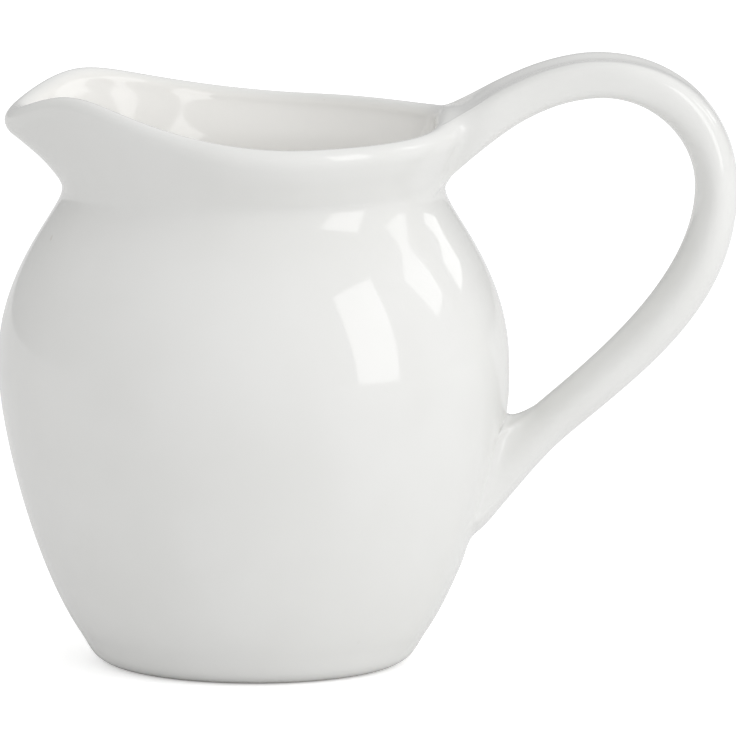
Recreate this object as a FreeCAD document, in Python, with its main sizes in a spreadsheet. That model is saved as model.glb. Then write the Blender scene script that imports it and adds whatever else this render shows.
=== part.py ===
import FreeCAD, Part
import math
import os

# A slip-cast porcelain milk jug, in millimetres: a round belly on a narrow foot, a waisted
# neck, a flared mouth drawn out into a pouring spout, and one strap handle. It is one solid.
# Frame: origin at the centre of the foot on the table, +Z up, spout towards -X and handle
# towards +X, so Y = 0 is the plane of symmetry. Turns about +Z are counted from the spout.

SIZES = {
    # foot and belly, on their outside
    "foot_radius": 22.6,
    "foot_rounding": 4.6,
    "foot_slope": 0.69,
    "belly_radius": 40.3,
    "belly_height": 47.6,
    "neck_rise": 27.4,
    "neck_radius": 30.15,
    # wall and base
    "wall": 3.4,
    "lip_thickness": 4.2,
    "floor_thickness": 4.6,
    "floor_inset": 5.6,
    "foot_ring_width": 5.1,
    "recess_draft": 1.5,
    "recess_depth": 1.4,
    # mouth and spout, to the middle of the wall
    "mouth_flare": 3.75,
    "rim_rise": 11.0,
    "rim_lean": 27.0,
    "lip_rise": 8.3,
    "lip_rise_angle": 105.0,
    "spout_draw": 4.7,
    "spout_dip": 5.7,
    "spout_angle": 19.5,
    "spout_lean": 50.0,
    "spout_pinch": 0.6,
    "pinch_angle": 60.0,
    "saddle_rise": 1.9,
    "saddle_angle": 24.0,
    # handle: its reaches are counted from the belly's widest circle, its rise from the rim
    "handle_reach": 35.8,
    "handle_rise": 10.7,
    "crown_reach": 14.2,
    "crown_depth": 20.9,
    "handle_thickness": 6.7,
    "elbow_thickness": 7.3,
    "handle_width": 12.4,
    "crown_width": 14.3,
    "upper_root_width": 28.0,
    "lower_root_width": 19.0,
    "handle_dish": 0.7,
    "handle_squareness": 0.06,
    "crotch_drop": 7.0,
    "crotch_gap": 4.25,
    "root_height": 22.1,
    "root_sink": 1.4,
}

# Steps of each curve; those of the wall are steps of its section.
COLUMNS = 20  # of half a turn round the axis
CORNER_STEPS = 5  # of the foot's rounded edge, and of the bowl inside
LOWER_STEPS = 10  # of the belly below its widest level
UPPER_STEPS = 9  # and above it
FLARE_STEPS = 7
CREST_STEPS = 6
BOWL_START = 4  # step of the lower belly below which the even wall turns into the bowl
RUN_STEPS = 8  # of each run of the handle's rails
SECTION_STEPS = 12  # of half a section of the handle
STRIP_RINGS = 8  # rings that one face of a skin spans

CORE_TOP = 40.0  # how far the trimming core stands above the rim
ROOT_LIFT = 0.2  # how far the handle's top stands over the saddle of the rim
ROOT_DEPTH = 7.0  # how deep the handle's top starts inside the mouth, where the core trims it
ROOT_UNDER_DEPTH = 0.7  # how deep its underside starts in the neck, in wall thicknesses
ROOT_UNDER_DROP = 5.0  # and how far below the neck
DISH_SPREAD = 0.6  # half width of the dish, as a share of the handle's
ROUND = 0.5523  # pull of a curve that makes a quarter circle

# Pulls say how far a curve follows its first and its last heading, as shares of its rise or run.
FOOT_PULLS = (0.78, 0.42)
LOWER_BELLY_PULLS = (0.26, 0.21)
UPPER_BELLY_PULLS = (0.54, 0.12)
FLARE_PULLS = (0.33, 0.4)
BOWL_PULLS = (0.6, 0.6)
CROWN_START_PULLS = (0.32, 0.38)
CROWN_START_UNDER_PULLS = (0.36, 0.42)
FALL_PULLS = (0.48, 0.42)
FALL_UNDER_PULLS = (0.385, 0.345)
ROOT_PULLS = (0.25, 0.27)
ROOT_UNDER_PULLS = (0.31, 0.31)

# Headings in the plane Y = 0, as (out, up).
OUT = (1.0, 0.0)
UP = (0.0, 1.0)
DOWN = (0.0, -1.0)
FOOT_HEADING = (1.0, 0.1)
ROOT_DIVE = (-1.0, -0.5)
ROOT_HEADING = (1.0, 0.56)
ROOT_UNDER_HEADING = (0.28, 1.0)
LOWER_HEADING = (-0.745, -0.667)
HEEL_HEADING = (-0.82, -0.57)
CROTCH_HEADING = (-1.0, 0.3)


def make_sheet(doc):
    sheet = doc.addObject("Spreadsheet::Sheet", "Sizes")
    for row, (name, value) in enumerate(SIZES.items(), start=1):
        sheet.set("A%d" % row, name)
        sheet.set("B%d" % row, str(value))
        sheet.setAlias("B%d" % row, name)
    doc.recompute()
    return sheet


def mix(low, high, share):
    return low + (high - low) * share


def bell(angle, width):
    """Smooth bump of height 1 at angle 0 that dies away over width."""
    return math.exp(-((angle / width) ** 2))


def wave(angle, reach):
    """Half a cosine wave: 1 at angle 0, falling to 0 at reach."""
    if angle >= reach:
        return 0.0
    return 0.5 + 0.5 * math.cos(math.pi * angle / reach)


def along(start, direction, distance):
    """Point at a distance from start, with direction in (out, up)."""
    length = math.hypot(*direction)
    return (start[0] + direction[0] * distance / length, start[1] + direction[1] * distance / length)


def curve(start, start_heading, end, end_heading, pulls, steps):
    """Points of a cubic Bezier curve in the (out, up) plane, which starts and ends on its headings.

    The pulls are the lengths for which it follows them.
    """
    corners = (start, along(start, start_heading, pulls[0]), along(end, end_heading, -pulls[1]), end)
    points = []
    for step in range(steps + 1):
        share = step / steps
        rest = 1.0 - share
        weights = (rest**3, 3 * rest**2 * share, 3 * rest * share**2, share**3)
        points.append(tuple(sum(w * corner[axis] for w, corner in zip(weights, corners)) for axis in (0, 1)))
    return points


def pulled(pulls, length):
    return (pulls[0] * length, pulls[1] * length)


def offset(line, distance):
    """Line moved sideways by distance(share), to the left of its direction if positive."""
    moved = []
    for index, point in enumerate(line):
        before = line[max(index - 1, 0)]
        after = line[min(index + 1, len(line) - 1)]
        side = (before[1] - after[1], after[0] - before[0])
        moved.append(along(point, side, distance(index / (len(line) - 1))))
    return moved


def belly_line(size):
    """Outside of the belly from the rounded foot edge to the neck."""
    edge = (size.foot_radius + size.foot_rounding, size.foot_rounding)
    belly = (size.belly_radius, size.belly_height)
    neck = (size.neck_radius, size.belly_height + size.neck_rise)
    rise = belly[1] - edge[1]
    slope = (size.foot_slope, 1.0)
    steepness = math.hypot(*slope)
    lower_pulls = (LOWER_BELLY_PULLS[0] * rise * steepness, LOWER_BELLY_PULLS[1] * rise)
    lower = curve(edge, slope, belly, UP, lower_pulls, LOWER_STEPS)
    upper = curve(belly, UP, neck, UP, pulled(UPPER_BELLY_PULLS, size.neck_rise), UPPER_STEPS)
    return lower + upper[1:]


def radius_at(line, height):
    """Radius of the line at a height."""
    for low, high in zip(line, line[1:]):
        if height <= high[1]:
            break
    return mix(low[0], high[0], (height - low[1]) / (high[1] - low[1]))


def rim_height(size):
    """Height of the rim at the side, where neither the lip nor the saddle lifts it."""
    return size.belly_height + size.neck_rise + size.rim_rise


def mouth_radius(size):
    return size.neck_radius - size.wall / 2 + size.mouth_flare


def rim_point(size, turn):
    """Crest centre of the rim at a turn from the spout, its lean and its thickness."""
    draw = bell(turn, size.spout_angle)
    radius = mouth_radius(size) + size.spout_draw * draw
    radius -= size.spout_pinch * bell(turn - size.pinch_angle, size.spout_angle)
    thickness = mix(size.wall, size.lip_thickness, draw)
    crest = rim_height(size) + size.lip_rise * wave(turn, size.lip_rise_angle)
    crest += size.saddle_rise * bell(180.0 - turn, size.saddle_angle) - size.spout_dip * draw
    lean = math.radians(mix(size.rim_lean, size.spout_lean, draw))
    return radius, crest - thickness / 2, lean, thickness


def flare_line(size, turn):
    """Middle of the wall from the neck to the crest centre."""
    radius, height, lean, thickness = rim_point(size, turn)
    start = (size.neck_radius - size.wall / 2, size.belly_height + size.neck_rise)
    pulls = pulled(FLARE_PULLS, height - start[1])
    return curve(start, UP, (radius, height), (math.sin(lean), math.cos(lean)), pulls, FLARE_STEPS)


def wall_section(size, turn):
    """Side of the wall at one turn: out from the foot, up, over the rim and down to the floor."""
    outside = belly_line(size)
    foot = (size.foot_radius, 0.0)
    slope = (size.foot_slope, 1.0)
    corner_pulls = pulled(FOOT_PULLS, size.foot_rounding)
    corner = curve(foot, FOOT_HEADING, outside[0], slope, corner_pulls, CORNER_STEPS)

    radius, height, lean, thickness = rim_point(size, turn)
    middle = flare_line(size, turn)
    outer_flare = offset(middle, lambda share: -mix(size.wall, thickness, share) / 2)
    inner_flare = offset(middle, lambda share: mix(size.wall, thickness, share) / 2)
    crest = []
    for step in range(1, CREST_STEPS):
        angle = math.pi * step / CREST_STEPS - lean
        crest.append(along((radius, height), (math.cos(angle), math.sin(angle)), thickness / 2))

    inside = offset(outside, lambda share: size.wall)[BOWL_START:-1]
    low = inside[0]
    floor = (size.foot_radius - size.floor_inset, size.floor_thickness)
    bowl_pulls = (BOWL_PULLS[0] * (low[0] - floor[0]), BOWL_PULLS[1] * (low[1] - floor[1]))
    low_heading = (inside[1][0] - low[0], inside[1][1] - low[1])
    bowl = curve(floor, OUT, low, low_heading, bowl_pulls, CORNER_STEPS)
    downwards = (bowl[:-1] + inside + inner_flare)[::-1]
    return corner[:-1] + outside + outer_flare[1:] + crest + downwards


def core_section(size, turn):
    """Side of the core that fills the jug out to the middle of its wall, and stands above it."""
    belly = offset(belly_line(size), lambda share: size.wall / 2)
    flare = flare_line(size, turn)
    crest = flare[-1]
    above = [(crest[0], mix(crest[1], rim_height(size) + CORE_TOP, share)) for share in (0.1, 0.4, 1.0)]
    return belly[1:-1] + flare + above


def spline_poles(points, places, tangents=None):
    """Cubic spline through points at given places: its poles, knots and multiplicities."""
    spline = Part.BSplineCurve()
    wanted = {"Points": points, "Parameters": places}
    if tangents:
        wanted.update(InitialTangent=tangents[0], FinalTangent=tangents[1], Scale=False)
    spline.interpolate(**wanted)
    return spline.getPoles(), spline.getKnots(), spline.getMultiplicities()


def mirrored(shape):
    return shape.mirror(FreeCAD.Vector(0, 0, 0), FreeCAD.Vector(0, 1, 0))


def skin(rings):
    """Solid skinned through closed rings that are symmetric about Y = 0.

    Each ring is half of its points, from one point on Y = 0 to the other, and its speed across
    Y = 0 at both ends, which keeps it smooth there. The first and last rings are flat ends.
    """
    steps = len(rings[0][0]) - 1
    around = [step / steps for step in range(steps + 1)]
    rows = []
    for points, start_speed, end_speed in rings:
        tangents = (FreeCAD.Vector(0, start_speed, 0), FreeCAD.Vector(0, end_speed, 0))
        poles, around_knots, around_mults = spline_poles(points, around, tangents)
        rows.append(poles)

    travel = [0.0]
    for (points, _, _), (following, _, _) in zip(rings, rings[1:]):
        gap = sum((b - a).Length for a, b in zip(points, following)) / len(points)
        travel.append(travel[-1] + gap)
    lengthwise = [distance / travel[-1] for distance in travel]
    grid = []
    for column in zip(*rows):
        poles, length_knots, length_mults = spline_poles(list(column), lengthwise)
        grid.append(poles)

    surface = Part.BSplineSurface()
    surface.buildFromPolesMultsKnots(
        grid, around_mults, length_mults, around_knots, length_knots, False, False, 3, 3
    )
    faces = []
    breaks = lengthwise[:-1:STRIP_RINGS] + [1.0]
    for low, high in zip(breaks, breaks[1:]):
        strip = surface.copy()
        strip.segment(0.0, 1.0, low, high)
        faces += [strip.toShape(), mirrored(strip.toShape())]
    for end in (0.0, 1.0):
        edge = surface.vIso(end).toShape()
        faces.append(Part.Face(Part.Wire([edge, mirrored(edge)])))
    shell = Part.Shell(faces)
    shell.sewShape()
    solid = Part.Solid(Part.Shell(shell.Faces))
    if solid.Volume < 0:
        solid.reverse()
    return solid


def turned(size, section):
    """Solid skinned through rings, each at one level of the section all round the axis."""
    columns = []
    for column in range(COLUMNS + 1):
        turn = 180.0 * column / COLUMNS
        heading = math.radians(180.0 - turn)
        points = section(size, turn)
        columns.append([FreeCAD.Vector(r * math.cos(heading), r * math.sin(heading), z) for r, z in points])
    return skin([(list(half), -math.pi * half[0].x, -math.pi * half[-1].x) for half in zip(*columns)])


def upper_rails(size, crown, side, crown_under, side_under):
    """Edge lines of the handle from its root on the rim, over the crown, to its outermost side."""
    seat = (mouth_radius(size), rim_height(size) + size.saddle_rise + ROOT_LIFT)
    root = along(seat, ROOT_DIVE, ROOT_DEPTH)
    neck_height = size.belly_height + size.neck_rise
    root_under = (size.neck_radius - ROOT_UNDER_DEPTH * size.wall, neck_height - ROOT_UNDER_DROP)
    start = pulled(CROWN_START_PULLS, crown[0] - root[0])
    start_under = pulled(CROWN_START_UNDER_PULLS, crown_under[0] - root_under[0])
    arc = (ROUND * (side[0] - crown[0]), ROUND * (crown[1] - side[1]))
    arc_under = (ROUND * (side_under[0] - crown[0]), ROUND * (crown_under[1] - side[1]))
    outer = [
        curve(root, ROOT_HEADING, crown, OUT, start, RUN_STEPS),
        curve(crown, OUT, side, DOWN, arc, RUN_STEPS),
    ]
    inner = [
        curve(root_under, ROOT_UNDER_HEADING, crown_under, OUT, start_under, RUN_STEPS),
        curve(crown_under, OUT, side_under, DOWN, arc_under, RUN_STEPS),
    ]
    return outer, inner


def lower_rails(size, side, side_under):
    """Edge lines of the handle from its outermost side down to its root on the belly."""
    belly = belly_line(size)
    crotch_height = size.belly_height - size.crotch_drop
    heel_height = crotch_height - size.root_height
    crotch = (radius_at(belly, crotch_height) + size.crotch_gap, crotch_height)
    elbow = along(crotch, (-LOWER_HEADING[1], LOWER_HEADING[0]), size.elbow_thickness)
    heel = (radius_at(belly, heel_height) - size.root_sink, heel_height)
    heel_under = (radius_at(belly, crotch_height) - size.wall, crotch_height)
    fall = pulled(FALL_PULLS, side[1] - elbow[1])
    fall_under = pulled(FALL_UNDER_PULLS, side[1] - crotch[1])
    root = pulled(ROOT_PULLS, size.root_height)
    root_under = pulled(ROOT_UNDER_PULLS, crotch[0] - heel_under[0])
    outer = [
        curve(side, DOWN, elbow, LOWER_HEADING, fall, RUN_STEPS),
        curve(elbow, LOWER_HEADING, heel, HEEL_HEADING, root, RUN_STEPS),
    ]
    inner = [
        curve(side_under, DOWN, crotch, LOWER_HEADING, fall_under, RUN_STEPS),
        curve(crotch, LOWER_HEADING, heel_under, CROTCH_HEADING, root_under, RUN_STEPS),
    ]
    return outer, inner


def ease(share):
    """Share that starts and stops gently."""
    return 0.5 - 0.5 * math.cos(math.pi * share)


def handle_stations(size):
    """Stations of the handle from the rim to the belly: outer rail, inner rail, half width, dish."""
    side_height = rim_height(size) + size.handle_rise - size.crown_depth
    crown = (size.belly_radius + size.crown_reach, side_height + size.crown_depth)
    side = (size.belly_radius + size.handle_reach, side_height)
    crown_under = (crown[0], crown[1] - size.handle_thickness)
    side_under = (side[0] - size.handle_thickness, side[1])
    upper_outer, upper_inner = upper_rails(size, crown, side, crown_under, side_under)
    lower_outer, lower_inner = lower_rails(size, side, side_under)
    runs = zip(upper_outer + lower_outer, upper_inner + lower_inner)
    widths = [
        lambda share: mix(size.crown_width, size.upper_root_width, (1.0 - share) ** 1.5),
        lambda share: mix(size.crown_width, size.handle_width, ease(share)),
        lambda share: size.handle_width,
        lambda share: mix(size.handle_width, size.lower_root_width, ease(share)),
    ]
    dishes = [
        lambda share: size.handle_dish,
        lambda share: size.handle_dish * (1.0 - share),
        lambda share: 0.0,
        lambda share: 0.0,
    ]
    stations = []
    for (outer, inner), width, dish in zip(runs, widths, dishes):
        for step in range(1 if stations else 0, RUN_STEPS + 1):
            share = step / RUN_STEPS
            stations.append((outer[step], inner[step], width(share) / 2, dish(share)))
    return stations


def handle_ring(size, outer, inner, half_width, dish):
    """Rounded strap section between the two rails, slightly dished on its outer face."""
    square = size.handle_squareness
    centre = (mix(outer[0], inner[0], 0.5), mix(outer[1], inner[1], 0.5))
    arm = ((outer[0] - inner[0]) / 2, (outer[1] - inner[1]) / 2)
    length = math.hypot(*arm)
    half = []
    for step in range(SECTION_STEPS + 1):
        angle = math.pi * step / SECTION_STEPS
        across = (math.sin(angle) + square * math.sin(3 * angle)) / (1.0 - square)
        out = (math.cos(angle) - square * math.cos(3 * angle)) / (1.0 - square)
        out -= dish / length * max(0.0, math.cos(angle)) * bell(across, DISH_SPREAD)
        half.append(FreeCAD.Vector(centre[0] + out * arm[0], half_width * across, centre[1] + out * arm[1]))
    speed = math.pi * half_width * (1.0 + 3.0 * square) / (1.0 - square)
    return half, speed, -speed


def handle_shape(size):
    return skin([handle_ring(size, *station) for station in handle_stations(size)])


def add_shape(doc, name, shape):
    feature = doc.addObject("Part::Feature", name)
    feature.Shape = shape
    feature.Placement = FreeCAD.Placement()
    return feature


def add_recess(doc):
    """Shallow cone cut up into the base, which leaves the jug standing on a flat foot ring."""
    cone = doc.addObject("Part::Cone", "FootRecess")
    cone.setExpression("Radius1", "Sizes.foot_radius - Sizes.foot_ring_width")
    cone.setExpression("Radius2", "Sizes.foot_radius - Sizes.foot_ring_width - Sizes.recess_draft")
    cone.setExpression("Height", "Sizes.recess_depth")
    cone.Placement = FreeCAD.Placement()
    return cone


def add_boolean(doc, kind, name, base, tool):
    feature = doc.addObject(kind, name)
    feature.Base = base
    feature.Tool = tool
    return feature


def check(doc, result):
    for item in doc.Objects:
        if "Invalid" in item.State or "Error" in item.State:
            raise RuntimeError("%s did not compute" % item.Name)
    shape = result.Shape
    if shape.isNull() or not shape.isValid() or len(shape.Solids) != 1:
        raise RuntimeError("%s is not one valid solid" % result.Label)


def main():
    doc = FreeCAD.newDocument("MilkJug")
    size = make_sheet(doc)
    wall = add_shape(doc, "Wall", turned(size, wall_section))
    core = add_shape(doc, "WallCore", turned(size, core_section))
    strap = add_shape(doc, "HandleStrap", handle_shape(size))
    handle = add_boolean(doc, "Part::Cut", "Handle", strap, core)
    blank = add_boolean(doc, "Part::Fuse", "JugBlank", wall, handle)
    jug = add_boolean(doc, "Part::Cut", "Jug", blank, add_recess(doc))
    jug.Label = "milk_jug"
    doc.recompute()
    check(doc, jug)
    os.makedirs("parts", exist_ok=True)
    jug.Shape.exportStep("parts/%s.step" % jug.Label)
    print("%s: %.1f cm3" % (jug.Label, jug.Shape.Volume / 1000.0))


main()
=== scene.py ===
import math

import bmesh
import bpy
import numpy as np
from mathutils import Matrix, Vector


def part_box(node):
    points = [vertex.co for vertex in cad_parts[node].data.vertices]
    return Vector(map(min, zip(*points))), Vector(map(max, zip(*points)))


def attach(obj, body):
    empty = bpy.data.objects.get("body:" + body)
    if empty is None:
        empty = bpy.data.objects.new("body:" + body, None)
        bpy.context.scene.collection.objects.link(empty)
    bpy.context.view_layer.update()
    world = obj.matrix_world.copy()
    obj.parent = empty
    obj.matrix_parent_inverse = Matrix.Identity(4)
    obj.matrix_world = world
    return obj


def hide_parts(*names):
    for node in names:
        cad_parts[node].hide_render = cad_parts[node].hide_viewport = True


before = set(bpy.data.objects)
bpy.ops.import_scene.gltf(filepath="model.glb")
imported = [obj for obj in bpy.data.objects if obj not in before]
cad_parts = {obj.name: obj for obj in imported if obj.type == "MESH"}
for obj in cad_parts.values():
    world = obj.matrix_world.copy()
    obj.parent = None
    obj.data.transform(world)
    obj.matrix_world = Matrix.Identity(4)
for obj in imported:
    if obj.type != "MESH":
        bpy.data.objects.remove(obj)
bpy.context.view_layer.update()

# The porcelain milk jug, dressed for its picture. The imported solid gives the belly's radius and the
# handle's reach. The piece that stands for it is one welded mesh of quads, whose cage follows the
# solid's curves and whose handle grows out of the rim and the belly in soft fillets.
# Lengths are millimetres unless a comment says otherwise, and the mesh is scaled to metres. Angles
# are degrees, and a turn is the angle round the axis from the spout, which is 180 at the handle.

MM = 0.001
LOW, HIGH = (np.array(corner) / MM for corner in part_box("milk_jug"))

# ---------------------------------------------------------------- sizes
# A pair is a distance from the axis and a height. A pull says how far a curve keeps to the heading
# at one of its ends, as a share of the height or width that it spans.
BELLY_RADIUS = -LOW[0]
BELLY_HEIGHT = 47.6
LOWER_BELLY_PULL = 0.21
UPPER_BELLY_PULL = 0.54
FOOT_RADIUS = 22.6
FOOT_EDGE = (27.2, 4.6)  # where the belly's line begins, over the foot's rounded corner
FOOT_SLOPE = 0.69  # how far the belly leans out there for each millimetre up
FOOT_PULL = 0.26
FOOT_HEADING = (1.0, 0.25)  # of the corner as it leaves the foot ring
FOOT_CORNER_PULLS = (0.68, 0.5)
NECK = (30.15, 75.0)
NECK_PULL = 0.12
WALL = 3.4
FLOOR_THICKNESS = 4.6
INNER_FLOOR_RADIUS = 17.0
BOWL_PULLS = (0.6, 0.6)
RECESS_RADIUS = 17.5
RECESS_DEPTH = 1.4

MOUTH_RADIUS = 32.2
MOUTH_SPREAD = 1.2  # how far the rim stands out at the mouth's sides
MOUTH_SPREAD_WIDTH = 32.0
MOUTH_SIDE_TURN = 95.0  # where the mouth is widest and its rim sags
FLARE_PULLS = (0.38, 0.32)  # at the neck and at the rim
RIM_HEIGHT = 86.0
RIM_LEAN = 18.0
RIM_SAG = 0.25
RIM_SAG_WIDTH = 55.0
LIP_THICKNESS = 4.6
LIP_RISE = 8.3  # how far the rim climbs to the spout
LIP_RISE_ANGLE = 105.0
SPOUT_REACH = 36.9
SPOUT_LEAN = 45.0
SPOUT_ANGLE = 20.5
SPOUT_DIP = 6.1
SPOUT_DIP_ANGLE = 22.0
SPOUT_PINCH = 0.1
PINCH_TURN = 60.0
SADDLE_RISE = 1.9  # how far the rim climbs to the handle
SADDLE_ANGLE = 24.0
SEAT_DEPTH = 2.0  # how much thicker the rim is where the handle sits on it
SEAT_ANGLE = 21.0

HANDLE_REACH = HIGH[0]
HANDLE_TOP = 96.48
CROWN_REACH = 54.5
SIDE_HEIGHT = 75.8
CROTCH = (BELLY_RADIUS + 3.9, 40.5)
CROWN_THICKNESS = 6.3
HANDLE_THICKNESS = 6.75
ELBOW_THICKNESS = 6.8
HANDLE_WIDTH = 12.4
CROWN_WIDTH = 15.2
ROOT_WIDTH = 28.0  # of the upper root
ROOT_TAPER = 1.8  # how fast that extra width is lost towards the crown
HANDLE_DISH = 0.7
DISH_SPREAD = 0.6  # as a share of the handle's half width
SQUARENESS = 0.1  # of the section; past a ninth its sides turn hollow
ROOT_LIFT = 0.2  # how far the handle's top starts over the saddle of the rim
ROOT_DIVE = (-1.0, -0.5)  # and from there back into the mouth
ROOT_DEPTH = 7.0
ROOT_UNDER_DEPTH = 0.7  # how deep its underside starts in the neck, in wall thicknesses
ROOT_UNDER_DROP = 4.7
ROOT_HEADING = (1.0, 0.52)
ROOT_UNDER_HEADING = (0.28, 1.0)
LOWER_HEADING = (-0.76, -0.65)
START_PULLS = (0.32, 0.38)
START_UNDER_PULLS = (0.36, 0.42)
CROWN_PULLS = (0.59, 0.59)  # 0.5523 would make a quarter ellipse
CROWN_UNDER_PULLS = (0.525, 0.525)
FALL_PULLS = (0.48, 0.42)
FALL_UNDER_PULLS = (0.41, 0.345)
# headings as (out, up)
UP = (0.0, 1.0)
DOWN = (0.0, -1.0)
OUT = (1.0, 0.0)
INWARD = (-1.0, 0.0)

# ---------------------------------------------------------------- cage layout
# Rows run from the middle of the base out, up the wall, over the rim and down to the inner floor.
COLUMNS = 48  # quads round the axis
RECESS_ROWS = ((5.5, RECESS_DEPTH), (11.0, RECESS_DEPTH), (15.2, RECESS_DEPTH), (16.6, 1.0))
# The foot ring's rows lie a little over the ground, so that the smooth surface doesn't dip under it.
FOOT_RING_ROWS = ((RECESS_RADIUS, 0.22), (18.8, 0.06), (20.8, 0.06), (FOOT_RADIUS, 0.08))
FOOT_CORNER_ROWS = 4
FOOT_HEIGHTS = (6.1, 8.2, 10.8, 13.6, 16.6)
LOWER_ROOT_HEIGHTS = (19.6, 39.9)
LOWER_ROOT_ROWS = 10
NECK_HEIGHTS = (42.6, 45.9, 49.5, 53.2, 57.0, 60.8, 64.5, 68.1, 71.6)
BELLY_HEIGHTS = np.concatenate(
    [FOOT_HEIGHTS, np.linspace(*LOWER_ROOT_HEIGHTS, LOWER_ROOT_ROWS + 1), NECK_HEIGHTS]
)
FLARE_SHARES = (0.0, 0.28, 0.52, 0.72, 0.88, 1.0)  # rows from the neck to the rim, closer towards it
FLARE_ROWS = len(FLARE_SHARES) - 1
CREST_ROWS = 4  # rows over the rounded rim
INNER_HEIGHTS = np.array([71.5, 67.5, 63.0, 58.0, 53.0, 48.0, 43.0, 38.0, 33.0, 28.0, 23.5])
BOWL_ROWS = 5
FLOOR_RADII = (11.5, 5.5)

FOOT_ROWS = len(RECESS_ROWS) + len(FOOT_RING_ROWS) + FOOT_CORNER_ROWS
LOWER_ROOT_ROW = FOOT_ROWS + len(FOOT_HEIGHTS)
NECK_ROW = FOOT_ROWS + len(BELLY_HEIGHTS)
INNER_ROW = NECK_ROW + FLARE_ROWS + CREST_ROWS
# The wall is open at the handle's roots: half the columns, then the first and the last row.
UPPER_PATCH = (3, NECK_ROW, NECK_ROW + FLARE_ROWS + 3)
LOWER_PATCH = (2, LOWER_ROOT_ROW, LOWER_ROOT_ROW + LOWER_ROOT_ROWS)
HALF_RING = 14  # quads of half a handle section, as many as half the edge of either patch

HANDLE_RINGS = 23
FIRST_RING = 15.0  # how far along the rails it stands; the rails start inside the mouth
LAST_RING = 1.0  # how far before the rails' end
HEADING_STEP = 0.5  # over which the rings' change along the handle is measured
UPPER_BLEND_RINGS = 4
LOWER_BLEND_RINGS = 5
# How far a blend keeps to the wall, and to the handle, at the outer rail, the sides and the inner
# rail. Small pulls at the sides would crease it.
UPPER_PULLS = (4.0, 4.5, 4.0)
LOWER_PULLS = (2.5, 3.2, 1.5)
UPPER_RING_PULLS = (4.0, 5.0, 4.0)
LOWER_RING_PULLS = (6.0, 4.0, 2.6)
HEEL_LIFT = 2.4  # how much further out the blend leaves the belly at the heel
# Rows and columns of the wall give way beside the lower root, which rounds the patch's corners.
CORNER_DROP = 2.4  # how far the rows sink beside the crotch
HEEL_RISE = 3.2  # and how far they rise beside the heel
CORNER_SPAN = 5.0  # over this height
CORNER_ANGLE = 6.0
CORNER_SQUEEZE = 0.4  # share by which the columns close in beside the crotch
SQUEEZE_ANGLE = 25.0
SQUEEZE_SPAN = 10.0
CROTCH_SWELL = 0.45  # how far the wall swells out under the crotch
SWELL_ANGLE = 9.0

BELLY_STEPS = 60  # of each half of the belly's line
FINE_STEPS = 100  # of the flare's curve, from which its rows are picked
RUN_STEPS = 40  # of each run of the handle's rails
FIT_ROUNDS = 12
SUBDIVISIONS = 2

# ---------------------------------------------------------------- glaze and floor
# Noises are scale per metre, detail and, where given, roughness. Ranges are where a noise fades in.
GLAZE = (0.815, 0.815, 0.8, 1.0)
GLAZE_THICK = (0.79, 0.79, 0.772, 1.0)
# Inside the mouth: a faint cream tint of the glaze, painted lighter than the outer glaze to stand in for
# light falling into the mouth.
GLAZE_INSIDE_CREAM_AND_PAINTED_LIGHT = (0.9, 0.89, 0.862, 1.0)
GLAZE_ROUGHNESS = (0.055, 0.09)  # of GLAZE and of GLAZE_THICK
GLAZE_IOR = 1.5
CLOUD_NOISE = (45.0, 2.0)
CLOUD_RANGE = (0.3, 0.7)
SPECK = (0.66, 0.63, 0.58, 1.0)
SPECK_NOISE = (620.0, 0.0)
SPECK_RANGE = (0.82, 0.86)
SPECK_AREA_NOISE = (90.0, 1.0)  # keeps the specks to a few places
SPECK_AREA_RANGE = (0.56, 0.66)
SPECK_STRENGTH = 0.5
BARE_CLAY = (0.7, 0.68, 0.63, 1.0)
BARE_HEIGHTS = (0.00015, 0.0005)  # metres; the foot ring is bare of glaze below them
BARE_ROUGHNESS = 0.5
RIPPLE_NOISE = (70.0, 1.0, 0.4)
RIPPLE_DEPTH = 0.00006  # metres
GRAIN_NOISE = (2500.0, 2.0)
GRAIN_SHARE = 0.004
FLOOR_SIZE = 6.0  # metres
FLOOR_WHITE = (0.89, 0.89, 0.89, 1.0)
FLOOR_WHITER = (0.91, 0.91, 0.91, 1.0)
FLOOR_NOISE = (6.0, 2.0)
FLOOR_RANGE = (0.2, 0.8)
FLOOR_ROUGHNESS = 0.9
FLOOR_GLOW = 0.45  # brings the lit floor up to white for the camera alone
WHITE = (1.0, 1.0, 1.0, 1.0)

# ---------------------------------------------------------------- camera and light
CAMERA_TARGET = (18.04, 0.0, 46.57)
CAMERA_DISTANCE = 2500.0
CAMERA_ELEVATION = 9.0
CAMERA_ROLL = 0.17
CAMERA_REACH = 100.0  # metres
SENSOR_WIDTH = 36.0
FRAME_WIDTH = 115.92  # what the picture spans at the jug

# Strength of the room in front of the jug, to its left and behind it. The ranges are the stretch of
# a direction's Y, Z or X over which the room turns darker behind the jug, low down and to the left.
ROOM_FRONT = 0.885
ROOM_LEFT = 0.74
ROOM_BACK = 0.52
ROOM_BACK_RANGE = (-0.3, 0.8)
ROOM_LOW_RANGE = (0.15, 0.6)
ROOM_LEFT_RANGE = (-1.0, 0.2)

LAMP_DISTANCE = 1.2  # metres
LAMP_AIM = (0.0, 0.0, 0.055)  # metres
LAMPS = (
    # name, azimuth, elevation, width, height and roll in degrees, radiance
    ("key_softbox", 58.0, 18.5, 22.0, 42.0, 0.0, 2.4),
    ("window_front", 101.0, 26.3, 12.5, 17.0, 22.0, 1.6),
    ("window_back", 129.0, 18.0, 12.5, 7.0, 0.0, 1.5),
)


# ---------------------------------------------------------------- curves
def mix(low, high, share):
    return low + (high - low) * share


def bell(angle, width):
    """Smooth bump of height 1 at angle 0 that dies away over width."""
    return math.exp(-((angle / width) ** 2))


def wave(angle, reach):
    """Half a cosine wave: 1 at angle 0, falling to 0 at reach."""
    return 0.5 + 0.5 * math.cos(math.pi * min(angle / reach, 1.0))


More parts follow.
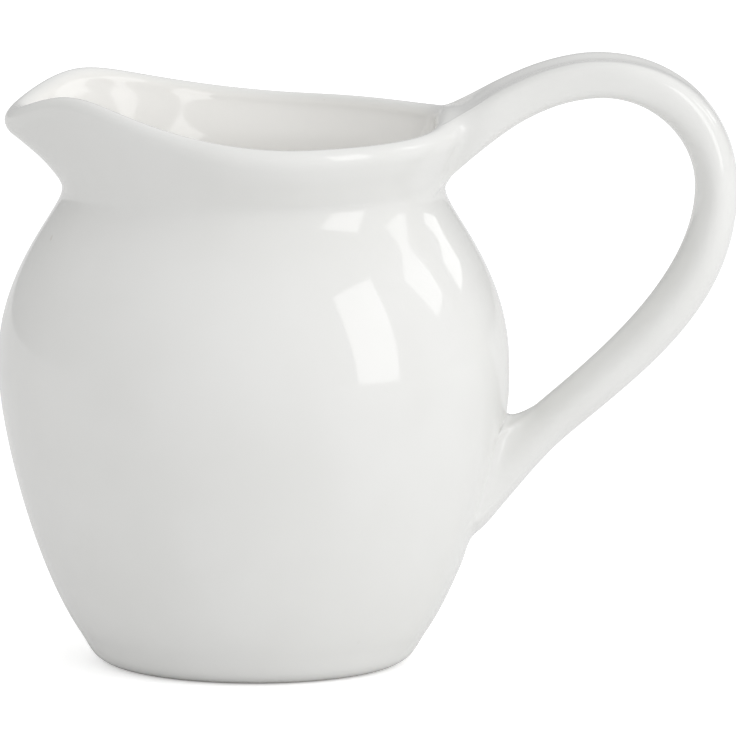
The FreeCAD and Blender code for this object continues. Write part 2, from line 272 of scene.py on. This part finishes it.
def along(start, direction, distance):
    direction = np.array(direction, float)
    return np.array(start, float) + direction * (distance / np.linalg.norm(direction))


def bezier(corners, share):
    """Cubic Bezier curve of four points, or of four arrays of points, at one share or a column of them."""
    rest = 1.0 - share
    weights = (rest**3, 3 * rest**2 * share, 3 * rest * share**2, share**3)
    return sum(weight * corner for weight, corner in zip(weights, corners))


def curve(start, start_handle, end_handle, end, steps):
    """Points of a cubic Bezier curve."""
    corners = [np.array(corner, float) for corner in (start, start_handle, end_handle, end)]
    return bezier(corners, np.linspace(0.0, 1.0, steps + 1)[:, None])


def headed_curve(start, start_heading, end, end_heading, pulls, span, steps):
    """Curve between two headings; pulls times span is how far it keeps to each."""
    first, last = np.array(pulls) * span
    back = -np.array(end_heading, float)
    return curve(start, along(start, start_heading, first), along(end, back, last), end, steps)


def offset(line, distances):
    """Line moved to the left of its direction by the distances."""
    run = np.gradient(line, axis=0)
    side = np.stack([-run[:, 1], run[:, 0]], axis=1)
    return line + side / np.linalg.norm(side, axis=1)[:, None] * np.asarray(distances).reshape(-1, 1)


def at_heights(line, heights):
    return np.stack([np.interp(heights, line[:, 1], line[:, 0]), heights], axis=1)


# ---------------------------------------------------------------- body
def belly_line():
    """Outside of the belly from the foot edge to the neck, as (radius, height)."""
    belly = (BELLY_RADIUS, BELLY_HEIGHT)
    rise = belly[1] - FOOT_EDGE[1]
    fall = NECK[1] - belly[1]
    edge_handle = (FOOT_EDGE[0] + FOOT_SLOPE * FOOT_PULL * rise, FOOT_EDGE[1] + FOOT_PULL * rise)
    low_handle = (belly[0], belly[1] - LOWER_BELLY_PULL * rise)
    high_handle = (belly[0], belly[1] + UPPER_BELLY_PULL * fall)
    neck_handle = (NECK[0], NECK[1] - NECK_PULL * fall)
    lower = curve(FOOT_EDGE, edge_handle, low_handle, belly, BELLY_STEPS)
    upper = curve(belly, high_handle, neck_handle, NECK, BELLY_STEPS)
    return np.concatenate([lower, upper[1:]])


BELLY = belly_line()


def rim_point(turn):
    """Crest centre of the rim at a turn, its lean in radians and its thickness."""
    draw = bell(turn, SPOUT_ANGLE)
    seat = bell(180.0 - turn, SEAT_ANGLE)
    radius = mix(MOUTH_RADIUS, SPOUT_REACH, draw) - SPOUT_PINCH * bell(turn - PINCH_TURN, SPOUT_ANGLE)
    radius += MOUTH_SPREAD * bell(turn - MOUTH_SIDE_TURN, MOUTH_SPREAD_WIDTH) - SEAT_DEPTH / 2 * seat
    thickness = mix(WALL, LIP_THICKNESS, draw) + SEAT_DEPTH * seat
    crest = RIM_HEIGHT + LIP_RISE * wave(turn, LIP_RISE_ANGLE) - SPOUT_DIP * bell(turn, SPOUT_DIP_ANGLE)
    saddle = SADDLE_RISE * bell(180.0 - turn, SADDLE_ANGLE)
    crest += saddle - RIM_SAG * bell(turn - MOUTH_SIDE_TURN, RIM_SAG_WIDTH)
    lean = math.radians(mix(RIM_LEAN, SPOUT_LEAN, draw))
    return np.array([radius, crest - thickness / 2]), lean, thickness


def flare_sides(turn):
    """Outer and inner side of the wall from the neck to the rim."""
    start = np.array([NECK[0] - WALL / 2, NECK[1]])
    end, lean, thickness = rim_point(turn)
    heading = (math.sin(lean), math.cos(lean))
    middle = headed_curve(start, UP, end, heading, FLARE_PULLS, end[1] - start[1], FINE_STEPS)
    half = np.linspace(WALL, thickness, FINE_STEPS + 1) / 2
    rows = (np.array(FLARE_SHARES) * FINE_STEPS).round().astype(int)
    return offset(middle, -half)[rows], offset(middle, half)[rows]


def crest_rows(turn):
    """Rows over the rounded rim, from its outer side to its inner one."""
    centre, lean, thickness = rim_point(turn)
    angles = np.linspace(-lean, math.pi - lean, CREST_ROWS + 1)[1:-1]
    return centre + thickness / 2 * np.stack([np.cos(angles), np.sin(angles)], axis=1)


def outside_rows(turn):
    """Rows of the outer wall from the foot to the neck, which give way beside the lower root."""
    near_crotch = np.exp(-(((BELLY_HEIGHTS - LOWER_ROOT_HEIGHTS[1]) / CORNER_SPAN) ** 2))
    near_heel = np.exp(-(((BELLY_HEIGHTS - LOWER_ROOT_HEIGHTS[0]) / CORNER_SPAN) ** 2))
    beside = bell(180.0 - turn - 360.0 * LOWER_PATCH[0] / COLUMNS, CORNER_ANGLE)
    shift = (HEEL_RISE * near_heel - CORNER_DROP * near_crotch) * beside
    rows = at_heights(BELLY, BELLY_HEIGHTS + shift)
    rows[:, 0] += CROTCH_SWELL * near_crotch * bell(180.0 - turn, SWELL_ANGLE)
    return rows


def inside_rows():
    """Rows of the inner wall, the rounded bowl and the inner floor."""
    wall = at_heights(offset(BELLY, np.full(len(BELLY), WALL)), INNER_HEIGHTS)
    low = wall[-1]
    floor = (INNER_FLOOR_RADIUS, FLOOR_THICKNESS)
    span = (low[1] - floor[1], low[0] - floor[0])
    bowl = headed_curve(low, low - wall[-2], floor, INWARD, BOWL_PULLS, span, BOWL_ROWS)
    middle = [(radius, FLOOR_THICKNESS) for radius in FLOOR_RADII]
    return np.concatenate([wall, bowl[1:], middle])


def wall_rows(turn):
    """All rows of the cage at one turn."""
    edge_heading = (FOOT_SLOPE, 1.0)
    span = (FOOT_EDGE[0] - FOOT_RADIUS, FOOT_EDGE[1])
    foot = FOOT_RING_ROWS[-1]
    corner = headed_curve(
        foot, FOOT_HEADING, FOOT_EDGE, edge_heading, FOOT_CORNER_PULLS, span, FOOT_CORNER_ROWS
    )
    outer_flare, inner_flare = flare_sides(turn)
    rows = [RECESS_ROWS, FOOT_RING_ROWS, corner[1:], outside_rows(turn), outer_flare]
    rows += [crest_rows(turn), inner_flare[::-1], inside_rows()]
    return np.concatenate(rows)


# ---------------------------------------------------------------- handle
def corner_curve(top, side, pulls):
    """Quarter turn of the crown, from a level heading to a plumb one."""
    span = (side[0] - top[0], top[1] - side[1])
    return headed_curve(top, OUT, side, DOWN, pulls, span, RUN_STEPS)


def outer_rail():
    """Outer edge line of the handle in three runs: to the crown, round to the side, down to the elbow."""
    crown = (CROWN_REACH, HANDLE_TOP)
    side = (HANDLE_REACH, SIDE_HEIGHT)
    saddle = (MOUTH_RADIUS, RIM_HEIGHT + SADDLE_RISE + ROOT_LIFT)
    root = along(saddle, ROOT_DIVE, ROOT_DEPTH)
    elbow = along(CROTCH, (-LOWER_HEADING[1], LOWER_HEADING[0]), ELBOW_THICKNESS)
    return [
        headed_curve(root, ROOT_HEADING, crown, OUT, START_PULLS, crown[0] - root[0], RUN_STEPS),
        corner_curve(crown, side, CROWN_PULLS),
        headed_curve(side, DOWN, elbow, LOWER_HEADING, FALL_PULLS, side[1] - elbow[1], RUN_STEPS),
    ]


def inner_rail():
    """Inner edge line of the handle, in the same three runs."""
    crown = (CROWN_REACH, HANDLE_TOP - CROWN_THICKNESS)
    side = (HANDLE_REACH - HANDLE_THICKNESS, SIDE_HEIGHT)
    root = (NECK[0] - ROOT_UNDER_DEPTH * WALL, NECK[1] - ROOT_UNDER_DROP)
    run = crown[0] - root[0]
    fall = side[1] - CROTCH[1]
    return [
        headed_curve(root, ROOT_UNDER_HEADING, crown, OUT, START_UNDER_PULLS, run, RUN_STEPS),
        corner_curve(crown, side, CROWN_UNDER_PULLS),
        headed_curve(side, DOWN, CROTCH, LOWER_HEADING, FALL_UNDER_PULLS, fall, RUN_STEPS),
    ]


def handle_rails():
    """Outer and inner rail of the handle, and its width, dish and squareness along them."""
    share = np.linspace(0.0, 1.0, RUN_STEPS + 1)
    ease = 0.5 - 0.5 * np.cos(math.pi * share)
    whole, none = np.full(RUN_STEPS + 1, 1.0), np.zeros(RUN_STEPS + 1)
    widths = [
        mix(CROWN_WIDTH, ROOT_WIDTH, (1.0 - share) ** ROOT_TAPER),
        mix(CROWN_WIDTH, HANDLE_WIDTH, ease),
        HANDLE_WIDTH * whole,
    ]
    dishes = [HANDLE_DISH * whole, HANDLE_DISH * (1.0 - share), none]
    squares = [SQUARENESS * whole, SQUARENESS * (1.0 - share), none]
    joined = []
    for runs in (outer_rail(), inner_rail(), widths, dishes, squares):
        joined.append(np.concatenate([runs[0][:-1], runs[1][:-1], runs[2]]))
    return joined


def handle_ring(outer, inner, half_width, dish, square):
    """Rounded strap section of 2 * HALF_RING points, from the outer rail round by +Y."""
    angle = np.arange(2 * HALF_RING) * math.pi / HALF_RING
    across = (np.sin(angle) + square * np.sin(3 * angle)) / (1.0 - square)
    out = (np.cos(angle) - square * np.cos(3 * angle)) / (1.0 - square)
    centre = (outer + inner) / 2
    arm = (outer - inner) / 2
    hollow = np.exp(-((across / DISH_SPREAD) ** 2))
    out = out - dish / np.linalg.norm(arm) * np.maximum(0.0, np.cos(angle)) * hollow
    return np.stack([centre[0] + out * arm[0], half_width * across, centre[1] + out * arm[1]], axis=1)


def handle_rings():
    """Evenly spaced rings of the handle, and their change per millimetre at the first and the last."""
    outer, inner, width, dish, square = handle_rails()
    middle = (outer + inner) / 2
    travel = np.concatenate([[0.0], np.cumsum(np.linalg.norm(np.diff(middle, axis=0), axis=1))])
    places = np.linspace(FIRST_RING, travel[-1] - LAST_RING, HANDLE_RINGS)

    def ring_at(place):
        rails = [[np.interp(place, travel, rail[:, axis]) for axis in (0, 1)] for rail in (outer, inner)]
        shape = [np.interp(place, travel, values) for values in (width / 2, dish, square)]
        return handle_ring(np.array(rails[0]), np.array(rails[1]), *shape)

    rings = [ring_at(place) for place in places]
    start_run = ring_at(places[0] + HEADING_STEP) - rings[0]
    end_run = rings[-1] - ring_at(places[-1] - HEADING_STEP)
    return rings, start_run / HEADING_STEP, end_run / HEADING_STEP


# ---------------------------------------------------------------- cage
class Cage:
    """Quads and their designed points, which the smooth surface is made to pass through."""

    def __init__(self):
        self.points = []
        self.inside = []
        self.faces = []

    def add(self, points, inside=0.0):
        first = len(self.points)
        self.inside += [inside] * len(points)
        self.points += [np.array(point, float) for point in points]
        return list(range(first, len(self.points)))

    def at(self, indices):
        return np.array([self.points[index] for index in indices])


def squeezed(heading, height):
    """Heading in radians, moved towards the handle's middle beside the crotch."""
    signed = (heading + math.pi) % (2 * math.pi) - math.pi
    share = bell(math.degrees(signed), SQUEEZE_ANGLE) * bell(height - CROTCH[1], SQUEEZE_SPAN)
    return signed * (1.0 - CORNER_SQUEEZE * share)


def in_patch(row, column):
    """Whether a quad of the wall lies where the wall is open for the handle."""
    signed = column if column < COLUMNS // 2 else column - COLUMNS
    for half_columns, first_row, last_row in (UPPER_PATCH, LOWER_PATCH):
        if first_row <= row < last_row and -half_columns <= signed < half_columns:
            return True
    return False


def add_wall(cage):
    """Adds the wall, base and inner floor, open at the handle's roots, and gives the grid of its points."""
    headings = [2 * math.pi * column / COLUMNS for column in range(COLUMNS)]
    sections = [wall_rows(abs(180.0 - math.degrees(heading))) for heading in headings]
    grid = []
    for row in range(len(sections[0])):
        points = []
        for heading, section in zip(headings, sections):
            radius, height = section[row]
            if FOOT_ROWS <= row < NECK_ROW:
                heading = squeezed(heading, height)
            points.append((radius * math.cos(heading), radius * math.sin(heading), height))
        grid.append(cage.add(points, 1.0 if row >= INNER_ROW else 0.0))
    (base_centre,) = cage.add([(0, 0, RECESS_DEPTH)])
    (floor_centre,) = cage.add([(0, 0, FLOOR_THICKNESS)], 1.0)

    for row, (lower, upper) in enumerate(zip(grid, grid[1:])):
        for column in range(COLUMNS):
            beside = (column + 1) % COLUMNS
            if not in_patch(row, column):
                cage.faces.append([lower[column], lower[beside], upper[beside], upper[column]])
    for column in range(COLUMNS):
        beside = (column + 1) % COLUMNS
        cage.faces.append([base_centre, grid[0][beside], grid[0][column]])
        cage.faces.append([floor_centre, grid[-1][column], grid[-1][beside]])
    return grid


def patch_loop(grid, patch, upper):
    """Indices round an open patch of the wall, and for each the next grid point inside it.

    They are ordered as a handle ring is: from the middle of the edge that the outer rail meets, by +Y.
    """
    half, first_row, last_row = patch
    start, end, step = (last_row, first_row, -1) if upper else (first_row, last_row, 1)
    pairs = [((start, column), (start + step, min(column, half - 1))) for column in range(half + 1)]
    pairs += [((row, half), (row, half - 1)) for row in range(start + step, end, step)]
    pairs += [((end, column), (end - step, min(column, half - 1))) for column in range(half, -1, -1)]
    pairs += [((row, -column), (next_row, -beside)) for (row, column), (next_row, beside) in pairs[-2:0:-1]]
    return [[grid[row][column % COLUMNS] for row, column in places] for places in zip(*pairs)]


def round_ring(pulls):
    """Pulls at the outer rail, the sides and the inner rail, eased round a handle ring."""
    angle = np.arange(2 * HALF_RING) * math.pi / HALF_RING
    ends = np.where(np.cos(angle) > 0, pulls[0], pulls[2])
    return mix(pulls[1], ends, np.cos(angle) ** 4)[:, None]


def wall_runs(cage, loop, inside):
    """Unit headings from each point of a patch's edge into the patch, along the wall."""
    run = cage.at(inside) - cage.at(loop)
    return run / np.linalg.norm(run, axis=1)[:, None]


def blend_rings(edge, edge_run, ring, ring_run, count):
    """Rings between a patch's edge and a handle ring, which leave the wall and join the handle smoothly."""
    corners = (edge, edge + edge_run, ring - ring_run, ring)
    return [bezier(corners, step / (count + 1)) for step in range(1, count + 1)]


def add_handle(cage, grid):
    """Adds the handle and its blends, from the patch at the rim to the patch on the belly."""
    upper_loop, upper_inside = patch_loop(grid, UPPER_PATCH, True)
    lower_loop, lower_inside = patch_loop(grid, LOWER_PATCH, False)
    rings, start_run, end_run = handle_rings()
    upper_run = wall_runs(cage, upper_loop, upper_inside) * round_ring(UPPER_PULLS)
    lower_run = wall_runs(cage, lower_loop, lower_inside) * round_ring(LOWER_PULLS)
    lower_run += round_ring((1.0, 0.0, 0.0)) ** 3 * [HEEL_LIFT, 0.0, 0.0]
    start_run = start_run * round_ring(UPPER_RING_PULLS)
    end_run = -end_run * round_ring(LOWER_RING_PULLS)
    upper = blend_rings(cage.at(upper_loop), upper_run, rings[0], start_run, UPPER_BLEND_RINGS)
    lower = blend_rings(cage.at(lower_loop), lower_run, rings[-1], end_run, LOWER_BLEND_RINGS)

    loops = [upper_loop]
    for ring in upper + rings + lower[::-1]:
        loops.append(cage.add(ring))
    loops.append(lower_loop)
    for loop, following in zip(loops, loops[1:]):
        for place in range(len(loop)):
            beside = (place + 1) % len(loop)
            cage.faces.append([loop[place], loop[beside], following[beside], following[place]])


def neighbours(faces, count):
    """For each point: its edge neighbours and, across each quad, its diagonal neighbours."""
    edges = [set() for _ in range(count)]
    diagonals = [[] for _ in range(count)]
    for face in faces:
        for k, index in enumerate(face):
            edges[index].update((face[k - 1], face[(k + 1) % len(face)]))
            if len(face) == 4:
                diagonals[index].append(face[(k + 2) % 4])
    return edges, diagonals


def fit_cage(points, faces, used):
    """Moves the cage's points until the smooth limit surface passes through the designed ones."""
    edges, diagonals = neighbours(faces, len(points))
    rows, columns, weights = [], [], []
    for index in used:
        n = len(edges[index])
        if len(diagonals[index]) != n:  # beside a triangle, where the point stays as designed
            rows.append(index)
            columns.append(index)
            weights.append(1.0)
            continue
        # weights of the Catmull-Clark limit surface at a point with n quads round it
        rows += [index] * (1 + 2 * n)
        columns += [index] + sorted(edges[index]) + diagonals[index]
        weights += [n / (n + 5)] + [4 / (n * (n + 5))] * n + [1 / (n * (n + 5))] * n
    rows, columns, weights = np.array(rows), np.array(columns), np.array(weights)
    target = np.array(points)
    cage = target.copy()
    for _ in range(FIT_ROUNDS):
        limit = np.zeros_like(cage)
        np.add.at(limit, rows, weights[:, None] * cage[columns])
        cage[used] += (target - limit)[used]
    return cage


def cage_mesh():
    """The fitted cage as a mesh in metres, with faces turned outward."""
    cage = Cage()
    add_handle(cage, add_wall(cage))
    used = sorted({index for face in cage.faces for index in face})
    fitted = fit_cage(cage.points, cage.faces, used)
    places = {index: place for place, index in enumerate(used)}
    faces = [[places[index] for index in face] for face in cage.faces]
    mesh = bpy.data.meshes.new("jug_glazed_body")
    mesh.from_pydata((fitted[used] * MM).tolist(), [], faces)
    inside = mesh.attributes.new("inside", "FLOAT", "POINT")
    inside.data.foreach_set("value", [cage.inside[index] for index in used])
    work = bmesh.new()
    work.from_mesh(mesh)
    bmesh.ops.recalc_face_normals(work, faces=work.faces)
    work.to_mesh(mesh)
    work.free()
    return mesh


def build_jug():
    """The jug as one smooth object, with the subdivision of its cage applied."""
    jug = bpy.data.objects.new("jug_glazed_body", cage_mesh())
    bpy.context.scene.collection.objects.link(jug)
    smooth = jug.modifiers.new("smooth", "SUBSURF")
    smooth.levels = SUBDIVISIONS
    smooth.render_levels = SUBDIVISIONS
    smooth.use_limit_surface = True
    depsgraph = bpy.context.evaluated_depsgraph_get()
    done = bpy.data.meshes.new_from_object(jug.evaluated_get(depsgraph))
    jug.modifiers.clear()
    jug.data = done
    done.name = "jug_glazed_body"
    for polygon in done.polygons:
        polygon.use_smooth = True
    return jug


# ---------------------------------------------------------------- materials
def new_material(name):
    material = bpy.data.materials.new(name)
    material.use_nodes = True
    nodes, links = material.node_tree.nodes, material.node_tree.links
    return material, nodes, links, nodes["Principled BSDF"]


def add_noise(nodes, links, place, scale, detail, roughness=0.5):
    """Noise from 0 to 1 over a place in metres."""
    noise = nodes.new("ShaderNodeTexNoise")
    noise.inputs["Scale"].default_value = scale
    noise.inputs["Detail"].default_value = detail
    noise.inputs["Roughness"].default_value = roughness
    links.new(place, noise.inputs["Vector"])
    return noise.outputs["Fac"]


def add_range(nodes, links, value, low, high, to_low, to_high):
    """Value between low and high, eased on to the range between to_low and to_high."""
    ranged = nodes.new("ShaderNodeMapRange")
    ranged.interpolation_type = "SMOOTHSTEP"
    for name, number in (("From Min", low), ("From Max", high), ("To Min", to_low), ("To Max", to_high)):
        ranged.inputs[name].default_value = number
    links.new(value, ranged.inputs["Value"])
    return ranged.outputs["Result"]


def add_mix(nodes, links, share, first, second):
    """Colour mixed by a share; first and second are colours or sockets."""
    mixed = nodes.new("ShaderNodeMix")
    mixed.data_type = "RGBA"
    links.new(share, mixed.inputs["Factor"])
    for socket, colour in ((mixed.inputs[6], first), (mixed.inputs[7], second)):
        if isinstance(colour, tuple):
            socket.default_value = colour
        else:
            links.new(colour, socket)
    return mixed.outputs[2]


def add_math(nodes, links, operation, first, second):
    """Result of an operation; first and second are numbers or sockets."""
    result = nodes.new("ShaderNodeMath")
    result.operation = operation
    for socket, value in zip(result.inputs, (first, second)):
        if isinstance(value, float):
            socket.default_value = value
        else:
            links.new(value, socket)
    return result.outputs["Value"]


def glaze_material():
    """White glaze, faintly uneven in tone and thickness, with a few specks, over a bare foot ring; inside
    the mouth it is a little creamier and painted lighter, as painted light.
    """
    material, nodes, links, shader = new_material("porcelain_glaze")
    place = nodes.new("ShaderNodeTexCoord").outputs["Object"]
    clouds = add_noise(nodes, links, place, *CLOUD_NOISE)
    thick = add_range(nodes, links, clouds, *CLOUD_RANGE, 0.0, 1.0)
    body = add_mix(nodes, links, thick, GLAZE, GLAZE_THICK)

    # Painted light: the inner wall and floor take a lighter glaze colour that stands in for light in the
    # mouth, with a faint cream tint.
    attribute = nodes.new("ShaderNodeAttribute")
    attribute.attribute_name = "inside"
    body = add_mix(nodes, links, attribute.outputs["Fac"], body, GLAZE_INSIDE_CREAM_AND_PAINTED_LIGHT)

    specks = add_noise(nodes, links, place, *SPECK_NOISE)
    areas = add_noise(nodes, links, place, *SPECK_AREA_NOISE)
    speck = add_range(nodes, links, specks, *SPECK_RANGE, 0.0, 1.0)
    area = add_range(nodes, links, areas, *SPECK_AREA_RANGE, 0.0, SPECK_STRENGTH)
    body = add_mix(nodes, links, add_math(nodes, links, "MULTIPLY", speck, area), body, SPECK)

    height = nodes.new("ShaderNodeSeparateXYZ")
    links.new(place, height.inputs["Vector"])
    bare = add_range(nodes, links, height.outputs["Z"], *BARE_HEIGHTS, 1.0, 0.0)
    links.new(add_mix(nodes, links, bare, body, BARE_CLAY), shader.inputs["Base Color"])

    gloss = add_range(nodes, links, clouds, *CLOUD_RANGE, *GLAZE_ROUGHNESS)
    rougher = add_math(nodes, links, "MULTIPLY", bare, BARE_ROUGHNESS)
    links.new(add_math(nodes, links, "ADD", gloss, rougher), shader.inputs["Roughness"])
    shader.inputs["IOR"].default_value = GLAZE_IOR

    ripple = add_noise(nodes, links, place, *RIPPLE_NOISE)
    grain = add_noise(nodes, links, place, *GRAIN_NOISE)
    relief = add_math(nodes, links, "ADD", ripple, add_math(nodes, links, "MULTIPLY", grain, GRAIN_SHARE))
    bump = nodes.new("ShaderNodeBump")
    bump.inputs["Strength"].default_value = 1.0
    bump.inputs["Distance"].default_value = RIPPLE_DEPTH
    links.new(relief, bump.inputs["Height"])
    links.new(bump.outputs["Normal"], shader.inputs["Normal"])
    return material


def floor_material():
    """White table, which the camera sees as white except where the jug shades it."""
    material, nodes, links, shader = new_material("floor_white")
    place = nodes.new("ShaderNodeTexCoord").outputs["Object"]
    clouds = add_noise(nodes, links, place, *FLOOR_NOISE)
    share = add_range(nodes, links, clouds, *FLOOR_RANGE, 0.0, 1.0)
    links.new(add_mix(nodes, links, share, FLOOR_WHITE, FLOOR_WHITER), shader.inputs["Base Color"])
    shader.inputs["Roughness"].default_value = FLOOR_ROUGHNESS
    shader.inputs["Specular IOR Level"].default_value = 0.0
    path = nodes.new("ShaderNodeLightPath")
    glow = add_math(nodes, links, "MULTIPLY", path.outputs["Is Camera Ray"], FLOOR_GLOW)
    shader.inputs["Emission Color"].default_value = WHITE
    links.new(glow, shader.inputs["Emission Strength"])
    return material


# ---------------------------------------------------------------- camera, lights and floor
def add_camera():
    """Long lens that looks a little down on the jug from -Y."""
    data = bpy.data.cameras.new("camera")
    camera = bpy.data.objects.new("camera", data)
    bpy.context.scene.collection.objects.link(camera)
    tilt = math.radians(CAMERA_ELEVATION)
    place = np.array(CAMERA_TARGET) + CAMERA_DISTANCE * np.array([0.0, -math.cos(tilt), math.sin(tilt)])
    camera.location = place * MM
    aim = Matrix.Rotation(math.pi / 2 - tilt, 3, "X") @ Matrix.Rotation(math.radians(CAMERA_ROLL), 3, "Z")
    camera.rotation_euler = aim.to_euler()
    data.sensor_width = SENSOR_WIDTH
    data.lens = data.sensor_width * CAMERA_DISTANCE / FRAME_WIDTH
    data.clip_end = CAMERA_REACH
    bpy.context.scene.camera = camera


def add_softbox(name, azimuth, elevation, wide, tall, roll, radiance):
    """Rectangular lamp that faces the jug, with its place and its size as angles seen from the jug.

    Azimuth is counted from the camera towards +X.
    """
    data = bpy.data.lights.new(name, "AREA")
    data.shape = "RECTANGLE"
    data.size = 2 * LAMP_DISTANCE * math.tan(math.radians(wide / 2))
    data.size_y = 2 * LAMP_DISTANCE * math.tan(math.radians(tall / 2))
    data.energy = math.pi * radiance * data.size * data.size_y
    lamp = bpy.data.objects.new(name, data)
    bpy.context.scene.collection.objects.link(lamp)
    turn, tilt = math.radians(azimuth), math.radians(elevation)
    away = np.array([math.sin(turn) * math.cos(tilt), -math.cos(turn) * math.cos(tilt), math.sin(tilt)])
    lamp.location = away * LAMP_DISTANCE + np.array(LAMP_AIM)
    aim = Matrix.Rotation(turn, 3, "Z") @ Matrix.Rotation(math.pi / 2 - tilt, 3, "X")
    lamp.rotation_euler = (aim @ Matrix.Rotation(math.radians(roll), 3, "Z")).to_euler()
    lamp.visible_camera = False


def add_world():
    """Pale room, darker to the left and low down behind, which gives the jug its soft dark contours.

    The camera itself sees plain white.
    """
    world = bpy.data.worlds.new("studio")
    bpy.context.scene.world = world
    world.use_nodes = True
    nodes, links = world.node_tree.nodes, world.node_tree.links
    nodes.clear()
    direction = nodes.new("ShaderNodeSeparateXYZ")
    links.new(nodes.new("ShaderNodeTexCoord").outputs["Generated"], direction.inputs["Vector"])
    room = nodes.new("ShaderNodeBackground")
    across, deep, high = (direction.outputs[axis] for axis in "XYZ")
    behind = add_range(nodes, links, deep, *ROOM_BACK_RANGE, 0.0, ROOM_FRONT - ROOM_BACK)
    low = add_range(nodes, links, high, *ROOM_LOW_RANGE, 1.0, 0.0)
    left = add_range(nodes, links, across, *ROOM_LEFT_RANGE, ROOM_FRONT - ROOM_LEFT, 0.0)
    darker = add_math(nodes, links, "ADD", add_math(nodes, links, "MULTIPLY", behind, low), left)
    links.new(add_math(nodes, links, "SUBTRACT", ROOM_FRONT, darker), room.inputs["Strength"])
    backdrop = nodes.new("ShaderNodeBackground")
    for background in (room, backdrop):
        background.inputs["Color"].default_value = WHITE
    path = nodes.new("ShaderNodeLightPath")
    choose = nodes.new("ShaderNodeMixShader")
    links.new(path.outputs["Is Camera Ray"], choose.inputs["Fac"])
    links.new(room.outputs["Background"], choose.inputs[1])
    links.new(backdrop.outputs["Background"], choose.inputs[2])
    output = nodes.new("ShaderNodeOutputWorld")
    links.new(choose.outputs["Shader"], output.inputs["Surface"])


def add_floor():
    bpy.ops.mesh.primitive_plane_add(size=FLOOR_SIZE)
    floor = bpy.context.object
    floor.name = "floor"
    floor.data.materials.append(floor_material())


jug = build_jug()
jug.data.materials.append(glaze_material())
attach(jug, "root")
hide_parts("milk_jug")
add_camera()
for lamp in LAMPS:
    add_softbox(*lamp)
add_world()
add_floor()
bpy.context.scene.view_settings.view_transform = "Standard"
